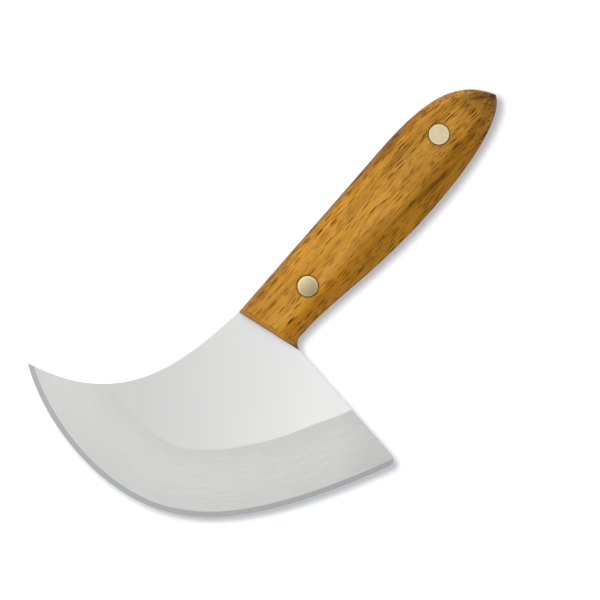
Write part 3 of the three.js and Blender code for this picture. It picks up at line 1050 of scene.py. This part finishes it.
def vessel_mask(grain, scale, least, most, share):
    """Short dashes along the grain, of several sizes and strengths, in a share of the cells."""
    cells = fed_node("ShaderNodeTexVoronoi", {"Vector": stretched(grain, scale), "Scale": 1.0})
    chances = fed_node("ShaderNodeSeparateColor", {0: cells.outputs["Color"]}).outputs
    size = ramped(chances[0], 1 - share, 1.0, least, most)
    chosen = maths("GREATER_THAN", chances[0], 1 - share)
    core = maths("MULTIPLY", size, 0.6)
    dash = ramped(cells.outputs["Distance"], core, size, 1.0, 0.0)
    return product(dash, chosen, ramped(chances[1], 0.0, 0.5, 0.5, 1.0))


def vessels(grain, side, behind, depth):
    """Open vessels: wide ones in crowds, fine ones, flecks along the top and long ones at the butt."""
    crowds = streaked(grain, (24, 150, 150), (3, 1, 2), detail=2.0, roughness=0.5)
    crowded = ramped(crowds, 0.4, 0.56, 0.55, 1.0)
    at_butt = ramped(behind, 65, 100, 0.0, 0.7)
    on_top = ramped(side, -0.6, -0.2, 0.6, 0.0)
    on_low = ramped(side, 0.1, 0.3, 0.0, 0.4)
    for more in (at_butt, on_top, on_low):
        crowded = maths("ADD", crowded, more, clamp=True)
    wide = vessel_mask(grain, (150, 1750, 800), least=0.26, most=0.52, share=0.46)
    fine = vessel_mask(grain, (160, 2500, 1200), least=0.24, most=0.52, share=0.55)
    flecks = vessel_mask(grain, (210, 1400, 1300), least=0.25, most=0.55, share=0.55)
    long = vessel_mask(grain, (110, 1900, 700), least=0.3, most=0.6, share=0.45)
    dark = product(wide, crowded)
    for kind, strength in (
        (fine, ramped(behind, 65, 105, 0.7, 0.9)),
        (flecks, ramped(side, -0.6, -0.3, 0.9, 0.0)),
        (long, ramped(behind, 92, 110, 0.0, 0.85)),
    ):
        dark = maths("MAXIMUM", dark, product(kind, strength))
    chamfer = FRONT_CHAMFER_WIDTH
    return product(dark, ramped(depth, chamfer - 0.2, chamfer + 0.2, 0.3, 1.0))


def slopes_lit_shaded_and_worn(colour, side, behind, smudges):
    """Deeper colour on both slopes, painted light on the top one, painted shade on the low one and towards
    the top outline, darker end grain with some painted shade at the butt, and darker wood where hands have
    been.
    """
    # Painted light: the top slope lighter, as if facing the light
    colour = scaled(colour, ramped(side, -0.35, -0.02, 1.18, 1.0))
    # Painted shade and light by the top outline: darker through the middle of the handle, hardly at the
    # front, lighter near the butt
    outline_shade = ramped(behind, 30, 50, 0.97, 0.84)
    outline_shade = maths("ADD", outline_shade, ramped(behind, 92, 108, 0.0, 0.36))
    colour = scaled(colour, ramped(side, -0.9, -0.4, outline_shade, 1.0))
    colour = tinted(ramped(side, -0.6, -0.35, 1.0, 0.0), colour, TOP_SLOPE_TINT)
    colour = tinted(ramped(side, 0.05, 0.3), colour, LOW_SLOPE_TINT)
    # Painted shade on the low slope, which faces away from the light
    slope = product(
        ramped(side, 0.0, 0.25),
        ramped(side, 0.6, 1.0, 1.0, 0.4),
        ramped(behind, 12, 52, 0.0, 0.57),
        ramped(behind, 75, 92, 1.0, 0.72),
    )
    colour = tinted(slope, colour, LOW_SLOPE_SHADE)
    palm = ramped(behind, 60, 80, -0.05, 0.27)
    handled = product(palm, ramped(behind, 93, 105, 1.0, 0.67))
    handled = maths("ADD", handled, ramped(smudges, 0.35, 0.65, -0.15, 0.15), clamp=True)
    colour = tinted(handled, colour, HANDLED_TINT)
    colour = scaled(colour, ramped(behind, 2, 28, 0.915, 0.95))
    # Darker end grain at the butt, partly painted shade on its rounding
    on_flat = ramped(maths("ABSOLUTE", side), 0.05, 0.4, 0.7, 0.0)
    return tinted(product(ramped(behind, 109, 125), on_flat), colour, BUTT_TINT)


def dirty_rims(colour, side, behind, smudges):
    """Dull dark wood along both outlines, where it meets the tang."""
    top = product(
        ramped(side, -0.95, -0.8, 1.0, 0.0),
        ramped(behind, 30, 55, 0.0, 0.9),
        ramped(behind, 90, 105, 1.0, 0.1),
        ramped(smudges, 0.35, 0.55, 0.5, 1.0),
    )
    low = product(ramped(side, 0.89, 0.96), ramped(behind, 30, 80, 0.4, 0.15))
    return mixed(maths("MAXIMUM", top, low), colour, linear(*DIRT_ON_RIM))


def stained_and_shaded(colour, place, smudges):
    """Long dark stains, most of them along the grain or the ridge, and painted shade in the low front
    corner of the handle.
    """
    blotchy = ramped(smudges, 0.3, 0.55, 0.6, 1.0)
    for spot, half_length, half_width, degrees, strength in STAINS_AND_SHADE:
        offset = rotated(vector_maths("SUBTRACT", place, in_frame(spot)), degrees)
        shares = (1 / (half_length * MM), 1 / (half_width * MM), 0)
        reach = vector_maths("LENGTH", vector_maths("MULTIPLY", offset, shares))
        mask = ramped(reach, 0.3, 1.0, strength, 0.0, smooth=True)
        colour = tinted(product(mask, blotchy), colour, STAIN_AND_SHADE_TINT)
    return colour


def depth_from_front(place):
    """Millimetres behind the slanted front of the handle."""
    slant = math.radians(FRONT_SLANT)
    backwards = (-math.cos(slant) / MM, -math.sin(slant) / MM, 0)
    offset = vector_maths("SUBTRACT", place, in_frame(Vector((0, 0))))
    return vector_maths("DOT_PRODUCT", offset, backwards)


def worn_front(colour, depth, smudges):
    """Duller chamfer along the front, with dirt in its corner, and darker along the seam with the steel."""
    band = ramped(depth, FRONT_CHAMFER_WIDTH - 0.2, FRONT_CHAMFER_WIDTH, 0.6, 0.0)
    colour = mixed(band, colour, linear(*WOOD_CHAMFER))
    from_line = maths("ABSOLUTE", maths("SUBTRACT", depth, FRONT_CHAMFER_WIDTH))
    line = product(ramped(from_line, 0.1, 0.3, 0.6, 0.0), ramped(smudges, 0.45, 0.52))
    colour = mixed(line, colour, linear(*DIRT_ON_CHAMFER))
    return mixed(ramped(depth, 0.1, 0.45, 0.7, 0.0), colour, linear(*DARK_AT_SEAM))


def shaded_seats(colour, place):
    """Painted shade in the wood round each rivet head, by the gap round it."""
    flattened = vector_maths("MULTIPLY", place, (1, 1, 0))
    seat = HEAD_RADIUS + BORE_FIT
    for spot, strength in zip(rivet_plan, SEAT_SHADE):
        axis = in_frame(spot)
        away = vector_maths("DISTANCE", flattened, (axis.x, axis.y, 0))
        mask = ramped(away, seat * MM, (seat + SEAT_SHADE_REACH) * MM, strength, 0.0)
        colour = mixed(mask, colour, linear(*SHADE_ROUND_RIVET))
    return colour


def wood_material():
    """Figured wood with open vessels, worn, with stains and dirt from use, and painted light on the top
    slope and painted shade on the low slope, at the butt, in the low front corner and round the rivet
    heads.
    """
    material, tree, shader = new_material("handle_wood")
    place = object_place(tree)
    side = attribute(tree, "side")
    forward = separated(place)["X"]
    behind = maths("DIVIDE", maths("SUBTRACT", plan_origin.x, forward), MM)
    depth = depth_from_front(place)
    grain = along_grain(place, behind)
    fibres = streaked(grain, (70, 2400, 2400))
    smudges = streaked(grain, (60, 190, 190), (2, 5, 4))
    dark = vessels(grain, side, behind, depth)

    colour = figured_wood(grain, fibres)
    colour = mixed(ramped(smudges, 0.56, 0.74, 0.0, 0.4), colour, linear(*WOOD_SMUDGE))
    on_top = ramped(side, -0.5, -0.2, 1.0, 0.0)
    streaky = product(ramped(fibres, 0.35, 0.65, -0.2, 0.2), on_top)
    colour = scaled(colour, maths("ADD", streaky, 1.0))
    colour = slopes_lit_shaded_and_worn(colour, side, behind, smudges)
    colour = worn_front(colour, depth, smudges)
    colour = stained_and_shaded(colour, place, smudges)
    # Vessels darker on the low slope: painted shade
    on_low = ramped(side, 0.1, 0.3)
    vessel_colour = mixed(on_low, linear(*VESSEL), linear(*VESSEL_ON_LOW_SLOPE))
    colour = mixed(dark, colour, vessel_colour)
    colour = dirty_rims(colour, side, behind, smudges)
    colour = shaded_seats(colour, place)

    rough = maths("MULTIPLY_ADD", dark, VESSEL_ROUGHNESS, ramped(fibres, 0.3, 0.7, *WOOD_ROUGHNESS))
    relief = maths("MULTIPLY_ADD", dark, -1.0, maths("MULTIPLY", fibres, 0.25))
    set_finish(shader, colour, rough, relief, strength=0.35, depth=0.1)
    shader.inputs["Specular IOR Level"].default_value = WOOD_SHEEN
    return material


def rivet_material(scuffs):
    """Pale brass, yellower at the rim with a painted highlight, and on the front rivet a duller colour with
    painted light and shade across the head.
    """
    material, tree, shader = new_material("rivet_metal")
    place = object_place(tree)
    scuffed = scuffs_on(scuffs, place, turn=0.7, scale=500.0, stretch=6.0)
    clouded = ramped(scuffed["Clouding"], 0.3, 0.7)
    dulling_and_shade = attribute(tree, "dulling_and_shade")
    clean = mixed(clouded, *CLEAN_RIVET)
    colour = mixed(dulling_and_shade, clean, mixed(clouded, *DULL_RIVET))
    # Painted highlight round the rim of each head
    rim_highlight = ramped(attribute(tree, "reach"), 0.74, 0.88, 0.0, 0.75)
    colour = mixed(rim_highlight, colour, PAINTED_RIM_HIGHLIGHT)
    # Painted light and shade across the front head, darker to the lower right and lighter to the upper left
    painted_light_and_shade = ramped(along_image(place, SHADED_PIXEL, LIT_PIXEL), 0.0, 1.0, 0.48, 1.42)
    colour = mixed(dulling_and_shade, colour, scaled(colour, painted_light_and_shade))
    colour = scaled(colour, ramped(scuffed["Scratches"], 0.35, 0.65, 0.9, 1.06))

    rough = ramped(scuffed["Scratches"], 0.3, 0.7, *RIVET_ROUGHNESS)
    set_finish(shader, colour, rough, scuffed["Scratches"], strength=0.15, depth=0.05)
    shader.inputs["Metallic"].default_value = 1.0
    return material


# Camera
def image_to_frame(pixel):
    """The place in the frame that a pixel of the photograph shows, at the height of the blade."""
    offset = (Vector(pixel) - FRONT_RIVET_PIXEL) * PIXEL * MM
    along, across = offset.dot(AXIS_IN_IMAGE), offset.dot(across_image)
    return Vector((front_rivet.x + along, front_rivet.y + across, mid_height))


def add_camera():
    camera = add_object("camera", bpy.data.cameras.new("camera"))
    camera.data.sensor_width = SENSOR
    camera.data.lens = SENSOR * CAMERA_HEIGHT / (IMAGE_SIDE * PIXEL * MM)
    camera.data.clip_end = CAMERA_REACH
    middle = image_to_frame((IMAGE_SIDE / 2, IMAGE_SIDE / 2))
    camera.location = middle + Vector((0, 0, CAMERA_HEIGHT))
    camera.rotation_euler.z = math.atan2(across_image.x, AXIS_IN_IMAGE.x)
    bpy.context.scene.camera = camera


# Light
def from_image(right, up, height):
    """A direction given as it is seen in the image, in the frame."""
    to_right = Vector((AXIS_IN_IMAGE.x, across_image.x, 0))
    to_top = Vector((-AXIS_IN_IMAGE.y, -across_image.y, 0))
    return (right * to_right + up * to_top + Vector((0, 0, height))).normalized()


def add_key_light():
    """A square softbox, seen neither straight nor in the metal."""
    direction = from_image(*KEY_DIRECTION)
    light = add_object("key_light", bpy.data.lights.new("key_light", "AREA"))
    light.data.shape = "SQUARE"
    light.data.size = KEY_SIDE
    light.data.energy = KEY_POWER
    light.location = Vector((0, 0, mid_height)) + KEY_DISTANCE * direction
    light.rotation_euler = (-direction).to_track_quat("-Z", "Y").to_euler()
    light.visible_camera = False
    light.visible_glossy = False


def seen_ray(tree):
    """1 for what is seen straight, in metal or through glass, and 0 for what only lights the knife."""
    rays = node(tree, "ShaderNodeLightPath").outputs
    seen = maths("MAXIMUM", rays["Is Camera Ray"], rays["Is Glossy Ray"])
    return maths("MAXIMUM", seen, rays["Is Transmission Ray"])


def add_world():
    """A soft glow from above that lights the knife, and plain white where the studio is seen."""
    world = bpy.data.worlds.new("studio")
    bpy.context.scene.world = world
    world.use_nodes = True
    tree = world.node_tree
    tree.nodes.clear()
    direction = node(tree, "ShaderNodeTexCoord").outputs["Generated"]
    near = vector_maths("DOT_PRODUCT", direction, from_image(*GLOW_DIRECTION))
    glow = maths("POWER", maths("MAXIMUM", near, 0.0), GLOW_NARROWNESS)
    sky = ramped(separated(direction)["Z"], 0.2, 0.85, *SKY_STRENGTH, smooth=True)
    strength = maths("MULTIPLY_ADD", glow, GLOW_STRENGTH, sky)
    studio = node(tree, "ShaderNodeBackground", {"Color": WHITE, "Strength": strength}).outputs[0]
    white = node(tree, "ShaderNodeBackground", {"Color": WHITE, "Strength": 1.0}).outputs[0]
    shown = node(tree, "ShaderNodeMixShader", {0: seen_ray(tree), 1: studio, 2: white})
    node(tree, "ShaderNodeOutputWorld", {"Surface": shown.outputs[0]})


def add_floor():
    mesh = bpy.data.meshes.new("floor")
    corners = [(x * FLOOR_REACH, y * FLOOR_REACH, 0) for x, y in ((-1, -1), (1, -1), (1, 1), (-1, 1))]
    mesh.from_pydata(corners, [], [(0, 1, 2, 3)])
    floor = add_object("floor", mesh)
    material, tree, _ = new_material("pale_floor")
    tree.nodes.clear()
    paper = node(tree, "ShaderNodeBsdfDiffuse", {"Color": FLOOR_COLOUR})
    strength = maths("MULTIPLY", seen_ray(tree), FLOOR_LIFT)
    lift = node(tree, "ShaderNodeEmission", {"Color": WHITE, "Strength": strength})
    both = node(tree, "ShaderNodeAddShader", {0: paper.outputs[0], 1: lift.outputs[0]})
    node(tree, "ShaderNodeOutputMaterial", {"Surface": both.outputs[0]})
    mesh.materials.append(material)


def place_piece(piece, slot, *nodes):
    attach(piece, "root")
    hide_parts(*nodes)


bpy.context.scene.view_settings.view_transform = "Standard"
add_camera()
add_world()
add_key_light()
add_floor()

scuffs = scuffs_group()
steel = steel_material(scuffs)
wood = wood_material()
rivet_metal = rivet_material(scuffs)

place_piece(ground_blade(steel), "blade_steel", "blade")
place_piece(wooden_scale("upper_scale_wood", 1, wood), "handle_wood", "upper_scale")
place_piece(wooden_scale("lower_scale_wood", -1, wood), "handle_wood", "lower_scale")

rivets = rivet_tree()
tube_outline = tube_profile() + head_profile()
tubes = rivet_halves("rivet_tubes", rivets, tube_outline, 0.0, TUBE_SPIN_SEED, rivet_metal)
place_piece(tubes, "rivet_metal", "front_rivet_tube", "back_rivet_tube")
shank_outline = shank_profile() + head_profile()
shanks = rivet_halves("rivet_shanks", rivets, shank_outline, math.pi, SHANK_SPIN_SEED, rivet_metal)
place_piece(shanks, "rivet_metal", "front_rivet_shank", "back_rivet_shank")
